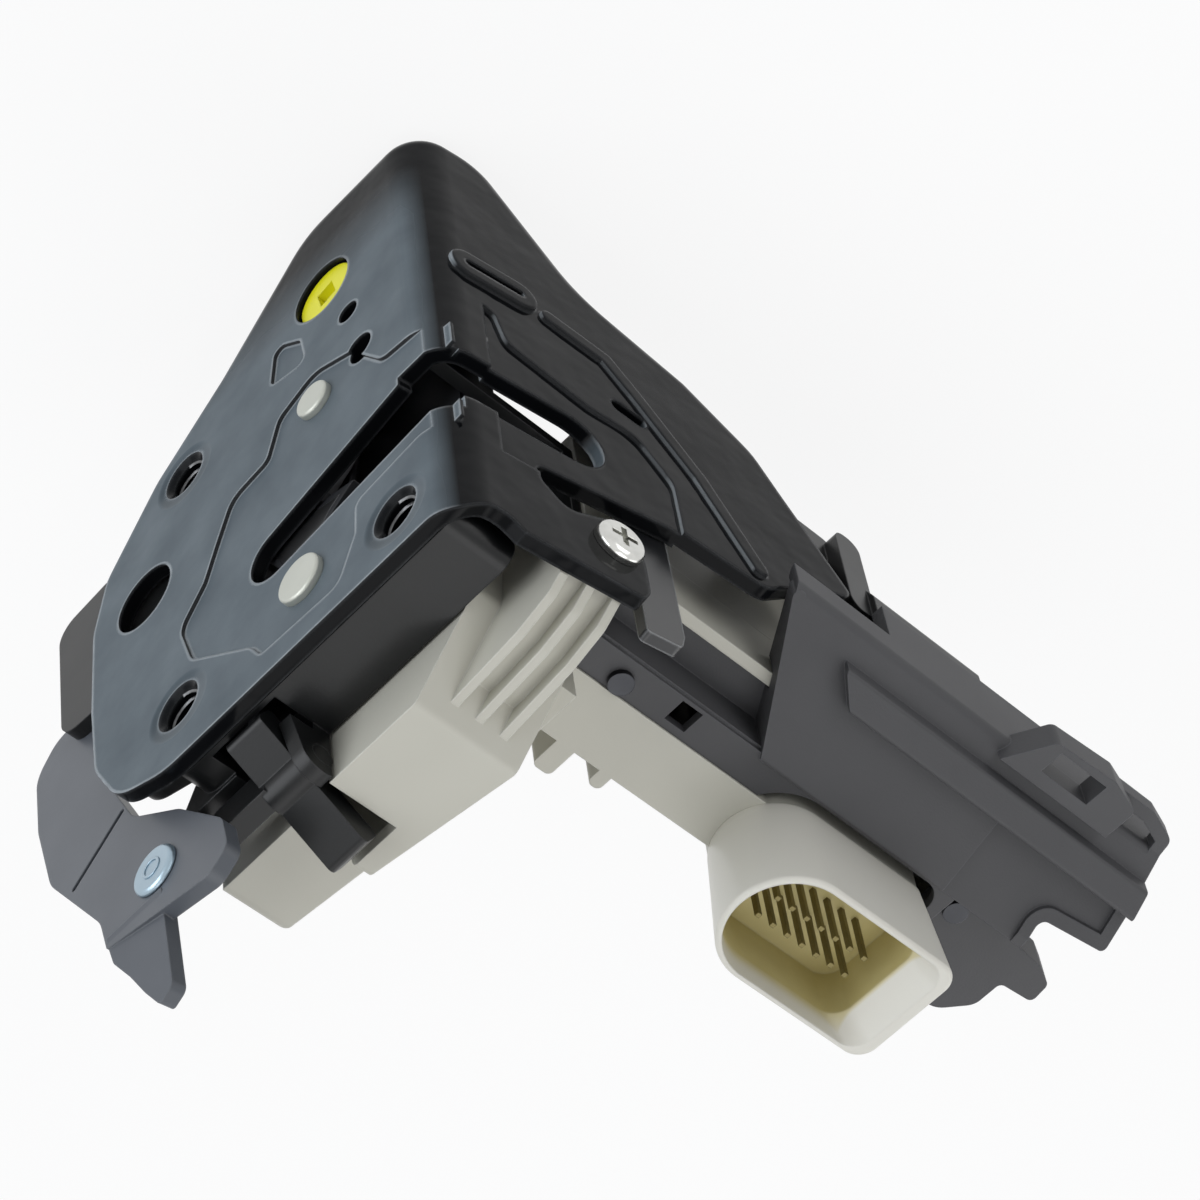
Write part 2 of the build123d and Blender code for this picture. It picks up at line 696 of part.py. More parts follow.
def actuator_housing():
    """Off-white housing: the boxed end beside the latch and the tray along the arm."""
    shape = face_prism(box_profile(), box_start, box_end) & level_prism(box_plan(), -60, 40)
    room = face_prism(offset(box_profile(), -arm_wall), box_start + arm_wall, box_end)
    shape -= room & level_prism(offset(box_plan(), -arm_wall), -60, 40)
    cut = outline([(box_start - 1, 10), (box_start - 1, 30), (28.5, 30), (26.5, 15), (24.5, 10)],
                  [0, 0, 0, 2, 2])
    shape -= side_prism(cut, fork_y - fork_width / 2 - 1.5, fork_y + fork_width / 2 + 1.5)
    beside_channel = slot_end[0] - slot_end_radius - channel_gap - channel_wall - clear
    behind_channel = channel_end + clear
    tray = block((behind_channel, arm_left, tray_floor), (arm_end, arm_right, arm_top))
    tray += block((behind_channel, box_column, tray_floor), (arm_start + 9, arm_left + 4, box_shelf))
    tray += block((box_left_end - 1, box_column - 1, tray_floor),
                  (behind_channel + 1, beside_channel, box_shelf))
    corners = tray.edges().filter_by(Axis.Z).filter_by(lambda e: e.center().X > arm_end - 1)
    tray = fillet(corners, arm_corner)
    room = block((arm_start + arm_wall, arm_left + arm_wall, tray_floor + arm_wall),
                 (arm_end - arm_wall, arm_right - arm_wall, arm_top - arm_wall))
    tray -= room
    low = arm_top - cover_sheet
    tray -= block((cover_start, band_y, low), (arm_end + 2, arm_right + 1, arm_top + 1))
    tray -= block((lobe_start() - clear, arm_left - 1, lobe_top - cover_sheet),
                  (arm_end + 2, arm_right + 1, arm_top + 1))
    tray -= block((arm_start - 6, seam_y, wall_top), (arm_end + 2, arm_right + 1, arm_top + 1))
    for x, reach, long in tray_lugs:
        lug = block((x, arm_left - reach, arm_top - lug_height), (x + long, arm_left + 1, arm_top))
        tray += fillet(lug.edges().filter_by(Axis.Z).sort_by(Axis.Y)[:2], 1.0)
    collar = connector_profile(connector_end, connector_taper + 0.2)
    socket = connector_profile(connector_end, foot_inset - clear)
    tray += level_prism(collar, foot_bottom, arm_top)
    tray -= level_prism(socket, foot_bottom - 1, arm_top + 1)
    shape += tray
    shape += face_prism(span(*bridge), box_end - 2 * arm_wall, arm_start + 2 * arm_wall)
    boss = screw_boss() - block((-10, -60, -60), (60, -13, 60))
    room = face_prism(offset(box_profile(), -arm_wall), box_start + arm_wall, box_end - arm_wall)
    shape += boss - room
    shape -= flange_prism(Pos(*screw_at) * Circle(screw_radius), 0, screw_length + 1)
    return shape


def lobe_start():
    """Where the cover widens beyond the connector."""
    return connector_end + 1.5


def cover_height(y):
    """Height of the cover's sloping panel at a distance towards the cabin."""
    return arm_top + 0.6 - cover_slope * (y - seam_y)


def cover_plan():
    """The cover as (X, Y): a band along the seam, the widening past the connector, a cable notch."""
    near = lobe_start()
    far = cover_end
    points = [(cover_start, band_y), (near, band_y), (near, lobe_y), (far - 11, lobe_y),
              (far - 6.6, -15), (far - 6.6, -9.5), (far, -9), (far - 0.5, -5), (far - 4, -3.2),
              (far - 12, -2.4), (far - 13, 4.4), (far, 5.7), (far - 1, 12), (far - 4, 25),
              (far - 10, 27), (cover_start, 27)]
    return outline(points, [1, 0.5, 2, 4, 3, 1, 1, 1.5, 1, 1.5, 1.5, 1, 2, 2, 2, 0])


def below_cover():
    """All that lies under the widening past the connector and under the sloping panel."""
    top = cover_height(cover_edge)
    points = [(-40, -60), (-40, lobe_top), (seam_y, lobe_top), (seam_y, cover_height(seam_y)),
              (cover_edge, top), (60, top), (60, -60)]
    return face_prism(make_face(Polyline(*points, close=True)), 0, cover_end + 20)


def actuator_cover():
    """Dark grey cover: a band along the seam, a sloping panel with a raised rail, a cable notch."""
    low = arm_top - cover_sheet
    top = cover_height(cover_edge)
    band = span((band_y, low), (seam_y + 1, arm_top - 0.4))
    shape = face_prism(band, cover_start, lobe_start() + 1)
    panel = [(seam_y, low), (seam_y, cover_height(seam_y)), (cover_edge, top),
             (cover_edge, top - cover_sheet - 3), (cover_edge - cover_sheet, top - cover_sheet - 3),
             (cover_edge - cover_sheet, top - cover_sheet)]
    panel = face_prism(outline(panel, [0, 0.6, 1.6, 0, 0, 0.8]), panel_start, cover_end)
    slant = outline([(panel_start, 27), (panel_start, 21.5), (panel_start + 14, seam_y - 1),
                     (cover_end, seam_y - 1), (cover_end, 27)], [0, 2, 0, 0, 0])
    shape += panel & level_prism(slant, -40, 10)
    riser = hull(Pos(panel_start + 1.4, 20.4) * Circle(1), Pos(panel_start + 14, seam_y + 1) * Circle(1))
    riser = level_prism(riser, cover_floor, arm_top) & below_cover()
    shape += riser - block((panel_start, arm_right - arm_wall - clear, -20),
                           (cover_end, arm_right + clear, wall_top + clear))
    floor = outline([(cover_start, seam_y), (panel_start + 15, seam_y), (panel_start + 10, arm_right - 2.4),
                     (cover_start, arm_right - 2.4)], [0, 0, 0, 0])
    shape += level_prism(floor, cover_floor, cover_floor + arm_wall)
    shape += block((cover_start, seam_y, cover_floor), (panel_start + 15, seam_y + 1.4, low + 1))
    rail = [(ridge_y, cover_height(ridge_y) - 1), (ridge_y, cover_height(ridge_y) + ridge_height),
            (ridge_y + ridge_width, cover_height(ridge_y + ridge_width) + ridge_height),
            (ridge_y + ridge_width, cover_height(ridge_y + ridge_width) - 1)]
    rail = face_prism(outline(rail, [0, 0.7, 0.7, 0]), ridge_start, cover_end)
    start = outline([(ridge_start, 19), (ridge_start, 17), (ridge_start + 6, ridge_y - 1),
                     (cover_end, ridge_y - 1), (cover_end, 19)], [0, 1, 0, 0, 0])
    shape += rail & level_prism(start, -40, 10)
    step = [(seam_y - 1, cover_height(seam_y - 1) - 0.8), (seam_y - 1, arm_top + 3), (ridge_y, arm_top + 3),
            (ridge_y, cover_height(ridge_y) - 0.8)]
    shape -= face_prism(make_face(Polyline(*step, close=True)), cover_end - step_length, cover_end + 1)
    shape += block((skirt_start, cover_edge - cover_sheet, skirt_bottom), (cover_end, cover_edge, top - 3))
    shape += block((lobe_start(), lobe_y, lobe_top - cover_sheet), (cover_end, seam_y + 1, lobe_top))
    shape += block((lobe_start(), seam_y, lobe_top - cover_sheet), (cover_end, seam_y + 1.6, low + 1))
    wall = level_prism(cover_plan(), cover_floor, arm_top)
    wall &= block((arm_end + 0.5, -30, cover_floor), (cover_end, 30, 0))
    inner = offset(cover_plan(), -cover_sheet)
    shape += (wall - level_prism(inner, -30, 0)) & below_cover()
    clip = outline([(cover_end - 38, cover_edge - 2), (cover_end - 33.3, 27.6), (cover_end - 21, 28.2),
                    (cover_end - 14.5, 26.2), (cover_end - 14.5, cover_edge - 2)], [0, 1.5, 1.5, 1.5, 0])
    opening = span((cover_end - 31.5, cover_edge + 0.4), (cover_end - 21.5, 26.6))
    hump = level_prism(clip - opening, clip_low, clip_high)
    shape = (shape & level_prism(cover_plan(), -60, 10)) + hump
    shape -= level_prism(connector_profile(connector_end, -clear), -20, 20)
    shape -= level_prism(span(*cover_window), low - 1, arm_top)
    for x, top in cover_screws_at:
        shape -= level_prism(Pos(x, cover_screw_y) * Circle(cover_screw_radius), top - 5, top + 1)
    return shape


def rear_cover():
    """Black cover that closes the back of the arm, with a lip up its cabin side."""
    plate = block((arm_start + 1, arm_left, arm_bottom), (arm_end, arm_right, tray_floor))
    plate = fillet(plate.edges().filter_by(Axis.Z), arm_corner)
    edge = cover_edge - 1.4
    lip = outline([(arm_right - 4, arm_bottom), (14.2, arm_bottom), (edge, -31),
                   (edge, skirt_bottom - clear), (edge - 2, skirt_bottom - clear), (edge - 2, -31),
                   (12.8, arm_bottom + 3), (arm_right - 4, arm_bottom + 3)],
                  [0, 2, 2, 0.4, 0.4, 2, 1, 0])
    plate += face_prism(lip, cap_end - 1, cover_end - 38)
    cap = block((cap_end - 5.3, arm_right - 4, arm_bottom - 0.5), (cap_end, 19.5, skirt_bottom - clear))
    cap = fillet(cap.edges().filter_by(Axis.Y), 2.4)
    plate += cap - block((cap_end - 9, 0, tray_floor), (cap_end + 1, arm_right + clear, 0))
    base = block((cap_end - 15, arm_right - 4, arm_bottom - 0.5), (cap_end - 3, 17, arm_bottom + 6))
    return plate + fillet(base.edges().filter_by(Axis.Y), 2.4)


def connector_profile(end, inset):
    """D-shaped outline as (X, Y): round at the end near the latch, nearly square at the other."""
    half = connector_wide / 2 - inset
    round_end = Pos(connector_start + inset + half, connector_y) * Circle(half)
    square_end = Pos(end - inset - 5, connector_y) * RectangleRounded(10, 2 * half, 3.5)
    return hull(round_end, square_end)


def connector_shroud():
    """White shroud of the connector, wider at its mouth, with a lead-in for the plug."""
    foot = Pos(0, 0, arm_top) * connector_profile(connector_end, connector_taper)
    mouth = Pos(0, 0, connector_mouth) * connector_profile(connector_end, 0)
    tube = loft([foot.faces()[0], mouth.faces()[0]], ruled=True)
    tube = fillet(tube.faces().sort_by(Axis.Z)[-1].edges(), 0.7)
    root = level_prism(connector_profile(connector_end, foot_inset), foot_bottom, arm_top)
    root &= block((60, arm_left + arm_wall + clear, -20), (130, band_y - clear, 0))
    cavity = connector_profile(cavity_end + connector_wall, connector_wall)
    tube -= level_prism(cavity, connector_mouth - connector_depth, connector_mouth + 1)
    low = Pos(0, 0, connector_mouth - lead_in) * cavity
    wide = Pos(0, 0, connector_mouth + 0.1) * connector_profile(connector_end - 1, 1.0)
    return tube - loft([low.faces()[0], wide.faces()[0]], ruled=True) + root


def contact_pins():
    """Two rows of contacts standing on the connector's floor."""
    pins = []
    for row in (-1, 1):
        for i in range(pins_in_row):
            x = pins_middle + (i - (pins_in_row - 1) / 2) * pin_pitch
            foot = connector_mouth - connector_depth
            pins.append(Pos(x, connector_y + row * pin_row_gap / 2, foot) * Box(
                pin_size, pin_size, connector_depth - 4, align=(Align.CENTER, Align.CENTER, Align.MIN)))
    return Compound(pins)


def lock_motor():
    """Small motor can with flat sides, its bearing nose towards the lead screw."""
    body = face_prism((Pos(drive_y, drive_z) * Circle(motor_radius)) &
                      (Pos(drive_y, drive_z) * Rectangle(2 * motor_radius, 1.6 * motor_radius)),
                      motor_x, motor_x + motor_length)
    return body + bar_along_x((drive_y, drive_z), 3, motor_x - 1.5, motor_x)


def lead_screw():
    """Screw on the motor shaft: a core with a raised thread drawn as close rings."""
    end = motor_x - 1.5 - 0.2
    shape = bar_along_x((drive_y, drive_z), lead_core, screw_start, end)
    count = int((end - screw_start - 2) / lead_pitch)
    for i in range(count):
        x = screw_start + 1 + i * lead_pitch
        shape += bar_along_x((drive_y, drive_z), lead_radius, x, x + lead_pitch / 2)
    return shape


def slider():
    """Nut block that the lead screw drives along the arm, with a slot for the link's pin."""
    half = slider_size / 2
    body = block((slider_x - slider_length, drive_y - half, drive_z - half),
                 (slider_x, drive_y + half, drive_z + half))
    middle = slider_x - slider_length / 2
    body -= bar_along_x((drive_y, drive_z), lead_radius + running, 0, 130)
    groove = block((middle - link_pin_radius - groove_gap, drive_y - half - 1, drive_z + half - 2.0),
                   (middle + link_pin_radius + groove_gap, drive_y + half + 1, drive_z + half + 1))
    return body - groove


def link_places():
    """The locking link's pivot and its pin at rest, both as (X, Y)."""
    pin = (slider_x - slider_length / 2, drive_y - 2.0)
    reach = (link_length ** 2 - (slider_travel / 2) ** 2) ** 0.5
    return (pin[0] - slider_travel / 2, pin[1] - reach), pin


def locking_link():
    """Link above the slider that passes its travel on to the latch."""
    pivot, pin = link_places()
    low = drive_z + slider_size / 2 + clear
    shape = level_prism(hull(Pos(*pivot) * Circle(link_hub), Pos(*pin) * Circle(2.6)), low, low + 2)
    shape += level_prism(Pos(*pin) * Circle(link_pin_radius), low - 1.9, low)
    return shape - level_prism(Pos(*pivot) * Circle(link_post_radius + running), low - 1, low + 3)


def link_post():
    """Post on the tray floor that the locking link turns on."""
    pivot = link_places()[0]
    low = drive_z + slider_size / 2 + clear
    post = level_prism(Pos(*pivot) * Circle(link_post_radius), tray_floor + arm_wall, low + 2.4)
    return post + level_prism(Pos(*pivot) * Circle(link_hub), tray_floor + arm_wall, low - clear)


def cover_screws():
    """Small screws that hold the cover along the seam."""
    screws = []
    for x, top in cover_screws_at:
        place = Pos(x, cover_screw_y)
        head = level_prism(place * Circle(2 * cover_screw_radius), top, top + 1)
        screws.append(head + level_prism(place * Circle(cover_screw_radius), top - cover_sheet, top))
    return Compound(screws)


def catch_switch():
    """Switch beside the pawl that reports the catch to the car."""
    return face_prism(span((-33, -72), (-21, -65.5)), 4.5, back_plate_x)


def main():
    os.makedirs("parts", exist_ok=True)
    save("latch_plate", latch_plate())
    save("latch_housing", latch_housing())
    save("back_plate", back_plate())
    save("rotary_catch", rotary_catch())
    save("catch_overmould", catch_overmould())
    save("catch_rivet", rivet(catch_at, rivet_radius, rivet_head_radius))
    save("pawl", pawl())
    save("pawl_rivet", rivet(pawl_at, pawl_rivet_radius, pawl_head_radius))
    save("pawl_buffer", pawl_buffer())
    save("catch_spring", coil(catch_at, catch_coil, layer()[1] + catch_back + 0.2, catch_legs))
    save("pawl_spring", coil(pawl_at, pawl_coil, layer()[1] + clear, pawl_legs))
    save("catch_switch", catch_switch())
    save("emergency_lock_disc", emergency_lock_disc())
    save("outer_release_lever", outer_release_lever())
    save("lever_rivet", lever_rivet())
    save("release_fork", release_fork())
    save("inner_release_lever", inner_release_lever())
    save("blade_pin", blade_pin())
    save("tab_screw", tab_screw())
    save("actuator_housing", actuator_housing())
    save("actuator_cover", actuator_cover())
    save("rear_cover", rear_cover())
    save("connector_shroud", connector_shroud())
    save("contact_pins", contact_pins())
    save("lock_motor", lock_motor())
    save("lead_screw", lead_screw())
    save("slider", slider())
    save("locking_link", locking_link())
    save("link_post", link_post())
    save("cover_screws", cover_screws())


main()
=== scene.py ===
# %% [markdown]
# A car door latch with its plastic actuator arm. The frame brings the rigid nodes of the CAD
# model, each at its real place in metres. This script gives them their finishes, adds the small
# pieces that the solids leave out, and sets the camera where the photograph was taken.

# %% Load the frame
import bpy
from math import radians
from mathutils import Matrix, Vector


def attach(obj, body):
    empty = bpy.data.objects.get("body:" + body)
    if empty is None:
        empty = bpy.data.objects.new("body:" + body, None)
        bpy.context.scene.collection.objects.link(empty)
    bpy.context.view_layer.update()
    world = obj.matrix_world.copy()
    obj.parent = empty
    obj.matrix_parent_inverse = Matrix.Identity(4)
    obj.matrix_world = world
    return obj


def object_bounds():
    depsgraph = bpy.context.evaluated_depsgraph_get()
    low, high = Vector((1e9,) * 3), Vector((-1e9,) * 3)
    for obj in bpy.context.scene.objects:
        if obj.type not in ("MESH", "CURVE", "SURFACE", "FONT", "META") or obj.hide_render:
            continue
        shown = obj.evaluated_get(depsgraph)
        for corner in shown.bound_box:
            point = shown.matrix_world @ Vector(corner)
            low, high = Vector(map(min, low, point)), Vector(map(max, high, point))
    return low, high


MM = 0.001
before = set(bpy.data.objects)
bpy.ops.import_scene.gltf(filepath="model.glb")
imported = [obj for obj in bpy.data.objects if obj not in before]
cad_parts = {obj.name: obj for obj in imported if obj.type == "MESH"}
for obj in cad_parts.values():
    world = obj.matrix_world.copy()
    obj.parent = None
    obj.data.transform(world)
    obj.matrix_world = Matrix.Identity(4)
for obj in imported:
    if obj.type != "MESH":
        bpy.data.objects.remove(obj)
cad_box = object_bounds()
print("nodes", len(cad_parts), "box", cad_box)


# %% [markdown]
# The photograph is a close view with mild perspective. A camera fitted to the tapped holes, the
# slot and the seams stands 515 mm away and looks along a slanted line, with the latch upside
# down. Its right and its back are written here as they were fitted, and its up follows from them.

# %% Camera
VIEW_RIGHT = Vector((0.722, 0.685, 0.096))
VIEW_BACK = Vector((-0.450, 0.360, 0.817))
CAMERA_AT = Vector((-205.4, 196.9, 430.2)) * MM
FOCAL_LENGTH = 114.0
SENSOR = 36.0
NEAREST_SEEN = 0.01
FARTHEST_SEEN = 20


def add_camera():
    back = VIEW_BACK.normalized()
    right = (VIEW_RIGHT - VIEW_RIGHT.dot(back) * back).normalized()
    up = back.cross(right)
    turned = Matrix((right, up, back)).transposed().to_4x4()
    bpy.ops.object.camera_add()
    camera = bpy.context.object
    camera.name = "photo_camera"
    camera.matrix_world = Matrix.Translation(CAMERA_AT) @ turned
    camera.data.lens = FOCAL_LENGTH
    camera.data.sensor_width = SENSOR
    camera.data.clip_start = NEAREST_SEEN
    camera.data.clip_end = FARTHEST_SEEN
    bpy.context.scene.camera = camera
    return camera


camera = add_camera()
print("camera at", [round(v, 4) for v in camera.location], "lens", camera.data.lens)


# %% [markdown]
# The latch rests on a pale floor. The photograph has even light from all round and a broad soft
# lamp over the face plate, which the black coating mirrors as a grey-blue sheen. The world and
# four large area lamps give the light; the grey-blue sheen itself is painted into the face's colour
# further down. The white background is a glow that only the camera and mirror-like surfaces see,
# so no extra light falls on the part and its shadow stays on the floor.
# The Standard view shows each colour about as it is written.

# %% Floor, world and lamps
FLOOR_SIZE = 6.0
FLOOR_DROP = 0.0005
FLOOR_COLOUR = "#f2f2f2"
FLOOR_ROUGHNESS = 0.75
FLOOR_GLOW = 0.86
WORLD_COLOUR = "#e6e9ee"
WORLD_STRENGTH = 0.36
WHITE = "#ffffff"
MIDDLE = Vector((0.05, 0.0, -0.03))
# Each lamp: its place from the middle and its side in metres, its power and its colour.
LAMPS = {"key_over_face": ((-0.9, -0.35, 0.35), 0.8, 7.0, "#e9edf2"),
         "soft_over_top": ((0.2, -0.1, 1.2), 1.0, 5.5, WHITE),
         "fill_cabin_side": ((0.1, 1.2, 0.4), 0.9, 3.6, WHITE),
         "fill_far_end": ((1.1, -0.3, 0.5), 0.8, 3.0, WHITE)}


def linear(code):
    """A hex sRGB colour as the linear values that a shader takes."""
    parts = [int(code[i:i + 2], 16) / 255 for i in (1, 3, 5)]
    return [v / 12.92 if v <= 0.04045 else ((v + 0.055) / 1.055) ** 2.4 for v in parts] + [1.0]


def add_node(tree, kind, settings=None, **links):
    """Add one node; settings fill its own values and its sockets, links join its inputs."""
    node = tree.nodes.new(kind)
    for key, value in (settings or {}).items():
        if isinstance(key, int) or key in node.inputs:
            node.inputs[key].default_value = value
        else:
            setattr(node, key, value)
    for key, source in links.items():
        name = int(key[1:]) if key[0] == "i" and key[1:].isdigit() else key.replace("_", " ")
        tree.links.new(source, node.inputs[name])
    return node


def deselect():
    bpy.ops.object.select_all(action="DESELECT")


def seen_directly(tree):
    """One for the rays that see the background itself, from the camera or through a reflection."""
    path = add_node(tree, "ShaderNodeLightPath")
    both = add_node(tree, "ShaderNodeMath", {"operation": "MAXIMUM"},
                    i0=path.outputs["Is Camera Ray"], i1=path.outputs["Is Glossy Ray"])
    return add_node(tree, "ShaderNodeMath", {"operation": "MAXIMUM"},
                    i0=both.outputs[0], i1=path.outputs["Is Transmission Ray"]).outputs[0]


def add_floor():
    deselect()
    bpy.ops.mesh.primitive_plane_add(size=FLOOR_SIZE, location=(0, 0, cad_box[0][2] - FLOOR_DROP))
    floor = bpy.context.object
    floor.name = "floor"
    material = bpy.data.materials.new("pale_floor")
    material.use_nodes = True
    tree = material.node_tree
    shader = tree.nodes["Principled BSDF"]
    shader.inputs["Base Color"].default_value = linear(FLOOR_COLOUR)
    shader.inputs["Roughness"].default_value = FLOOR_ROUGHNESS
    glow = add_node(tree, "ShaderNodeEmission", {"Color": linear(WHITE), "Strength": 1.0})
    share = add_node(tree, "ShaderNodeMath", {"operation": "MULTIPLY", 1: FLOOR_GLOW},
                     i0=seen_directly(tree))
    mixed = add_node(tree, "ShaderNodeMixShader", i0=share.outputs[0], i1=shader.outputs[0],
                     i2=glow.outputs[0])
    tree.links.new(mixed.outputs[0], tree.nodes["Material Output"].inputs["Surface"])
    floor.data.materials.append(material)


def add_world():
    world = bpy.data.worlds.new("studio")
    world.use_nodes = True
    background = world.node_tree.nodes["Background"]
    background.inputs["Color"].default_value = linear(WORLD_COLOUR)
    background.inputs["Strength"].default_value = WORLD_STRENGTH
    tree = world.node_tree
    white = add_node(tree, "ShaderNodeBackground", {"Color": linear(WHITE), "Strength": 1.0})
    mixed = add_node(tree, "ShaderNodeMixShader", i0=seen_directly(tree), i1=background.outputs[0],
                     i2=white.outputs[0])
    tree.links.new(mixed.outputs[0], tree.nodes["World Output"].inputs["Surface"])
    bpy.context.scene.world = world


def add_lamp(name, offset, size, power, colour):
    """A square lamp at an offset from the middle of the part, turned to face it."""
    bpy.ops.object.light_add(type="AREA", location=MIDDLE + Vector(offset))
    lamp = bpy.context.object
    lamp.name = name
    lamp.rotation_euler = (-Vector(offset)).to_track_quat("-Z", "Y").to_euler()
    lamp.data.shape = "SQUARE"
    lamp.data.size = size
    lamp.data.energy = power
    lamp.data.color = linear(colour)[:3]


bpy.context.scene.view_settings.view_transform = "Standard"
add_floor()
add_world()
for lamp_name, (offset, size, power, colour) in LAMPS.items():
    add_lamp(lamp_name, offset, size, power, colour)
print("lamps", len(LAMPS))


# %% [markdown]
# Every finish starts from one Principled shader. A fine noise on Object coordinates, which are
# metres, gives the grain, so a grain of so many millimetres is a noise scale of one over that
# size. A broad noise varies the colour a little, as real mouldings vary. The Bevel node bends the
# normals near each edge: that catches light as a real, slightly rounded edge does, and where the
# bent normal leaves the true one the edge is painted a paler colour, partly as wear and partly as
# a painted highlight along the edge.

# %% Finish helper
NOISE_DETAIL = 3.0
CLOUD_DETAIL = 4.0
BEVEL_SAMPLES = 4
GRAIN_STRENGTH = 0.6
# Bands of the pale edge colour, which is partly wear and partly a painted highlight.
EDGE_BAND = (0.985, 0.8)
WIDE_EDGE_BAND = (0.998, 0.95)


def edge_wear_and_highlight(tree, tint, worn_and_lit_edge, wear_and_highlight, band):
    """Lay the pale edge colour, partly wear and partly a painted highlight, over the tint where
    the Bevel node turns the normal.

    The band gives the cosines of the turn at which the pale edge starts and at which it is whole.
    """
    round_edge = next(node for node in tree.nodes if node.bl_idname == "ShaderNodeBevel")
    true_side = add_node(tree, "ShaderNodeNewGeometry").outputs["True Normal"]
    turn = add_node(tree, "ShaderNodeVectorMath", {"operation": "DOT_PRODUCT"},
                    i0=round_edge.outputs[0], i1=true_side)
    share = add_node(tree, "ShaderNodeMapRange",
                     {"From Min": band[0], "From Max": band[1], "To Min": 0.0, "To Max": wear_and_highlight},
                     Value=turn.outputs["Value"])
    return add_node(tree, "ShaderNodeMix", {"data_type": "RGBA", 7: linear(worn_and_lit_edge)},
                    i0=share.outputs[0], i6=tint).outputs[2]


def two_colours(tree, colour, second, share):
    """The first colour where the share is nought, and the second where it is one."""
    return add_node(tree, "ShaderNodeMix",
                    {"data_type": "RGBA", 6: linear(colour), 7: linear(second)},
                    i0=share).outputs[2]


def finish(name, colour, second, roughness, metallic=0.0, grain=0.5, relief=0.03, patch=8.0,
           spread=0.08, specular=0.5, edge=0.2, worn_and_lit_edge=None, wear_and_highlight=0.0, wave=0.0):
    """A finish: colour in patches, grain, waves and rounded edges in millimetres, and pale edges
    that are partly wear and partly a painted highlight.
    """
    material = bpy.data.materials.new(name)
    material.use_nodes = True
    tree = material.node_tree
    shader = tree.nodes["Principled BSDF"]
    place = add_node(tree, "ShaderNodeTexCoord").outputs["Object"]
    fine = add_node(tree, "ShaderNodeTexNoise", {"Scale": 1 / (grain * MM), "Detail": NOISE_DETAIL},
                    Vector=place)
    broad = add_node(tree, "ShaderNodeTexNoise", {"Scale": 1 / (patch * MM), "Detail": NOISE_DETAIL},
                     Vector=place)
    round_edge = add_node(tree, "ShaderNodeBevel", {"samples": BEVEL_SAMPLES, "Radius": edge * MM})
    tint = two_colours(tree, colour, second, broad.outputs["Fac"])
    if worn_and_lit_edge:
        tint = edge_wear_and_highlight(tree, tint, worn_and_lit_edge, wear_and_highlight, EDGE_BAND)
    tree.links.new(tint, shader.inputs["Base Color"])
    rough = add_node(tree, "ShaderNodeMapRange",
                     {"To Min": roughness - spread / 2, "To Max": roughness + spread / 2},
                     Value=broad.outputs["Fac"])
    tree.links.new(rough.outputs[0], shader.inputs["Roughness"])
    wavy = add_node(tree, "ShaderNodeBump", {"Strength": 1.0, "Distance": wave * MM},
                    Height=broad.outputs["Fac"], Normal=round_edge.outputs[0])
    bump = add_node(tree, "ShaderNodeBump", {"Strength": GRAIN_STRENGTH, "Distance": relief * MM},
                    Height=fine.outputs["Fac"], Normal=wavy.outputs[0])
    tree.links.new(bump.outputs[0], shader.inputs["Normal"])
    shader.inputs["Metallic"].default_value = metallic
    shader.inputs["Specular IOR Level"].default_value = specular
    return material


def second_skin(material, mask, colour, second, roughness, spread, patch, worn_and_lit_edge=None, wear_and_highlight=0.0):
    """Where the mask is one, the surface takes another colour and roughness, both in patches."""
    tree = material.node_tree
    shader = tree.nodes["Principled BSDF"]
    tint = shader.inputs["Base Color"].links[0].from_socket
    rough = shader.inputs["Roughness"].links[0].from_socket
    cloud = add_node(tree, "ShaderNodeTexNoise", {"Scale": 1 / (patch * MM), "Detail": CLOUD_DETAIL},
                     Vector=add_node(tree, "ShaderNodeTexCoord").outputs["Object"]).outputs["Fac"]
    skin = two_colours(tree, colour, second, cloud)
    if worn_and_lit_edge:
        skin = edge_wear_and_highlight(tree, skin, worn_and_lit_edge, wear_and_highlight, WIDE_EDGE_BAND)
    dull = add_node(tree, "ShaderNodeMapRange",
                    {"To Min": roughness - spread, "To Max": roughness + spread},
                    Value=cloud).outputs[0]
    tint = add_node(tree, "ShaderNodeMix", {"data_type": "RGBA"}, i0=mask, i6=tint, i7=skin)
    rough = add_node(tree, "ShaderNodeMix", {"data_type": "FLOAT"}, i0=mask, i2=rough, i3=dull)
    tree.links.new(tint.outputs[2], shader.inputs["Base Color"])
    tree.links.new(rough.outputs[0], shader.inputs["Roughness"])


def ramp(tree, source, low, high):
    """Nought at the low value and one at the high value, which may lie either way round."""
    return add_node(tree, "ShaderNodeMapRange", {"From Min": low, "From Max": high},
                    Value=source).outputs[0]


def times(tree, first, second):
    return add_node(tree, "ShaderNodeMath", {"operation": "MULTIPLY"},
                    i0=first, i1=second).outputs[0]


def add_relief(tree, height, distance, strength):
    """Raise the surface by the distance where the height is one, over the relief it has."""
    shader = tree.nodes["Principled BSDF"]
    bump = add_node(tree, "ShaderNodeBump", {"Strength": strength, "Distance": distance},
                    Height=height, Normal=shader.inputs["Normal"].links[0].from_socket)
    tree.links.new(bump.outputs[0], shader.inputs["Normal"])


# %% [markdown]
# The plate is pressed steel dipped in black electrophoretic paint. On the flange the coat keeps
# its wet gloss and is nearly black. The face has been rubbed satin up to the bend and up to the top
# corner, and there its colour is painted grey-blue in patches: a painted sheen, the reflection of
# the broad lamp over the face. A large pressing is never quite flat, so the gloss is wavy. The
# gloss coat is the base. The satin face with its painted sheen is a second skin, laid where the
# surface looks straight out of the face and lies below the top corner, and its edges are painted
# pale, partly as wear and partly as a painted highlight. The lever has the satin coat too.

# %% Coated steel
GLOSS_BLACK = "#0c0d0f"
PAINTED_SHEEN_FACE = "#687278"
BARE_AND_LIT_EDGE = "#9a9da0"
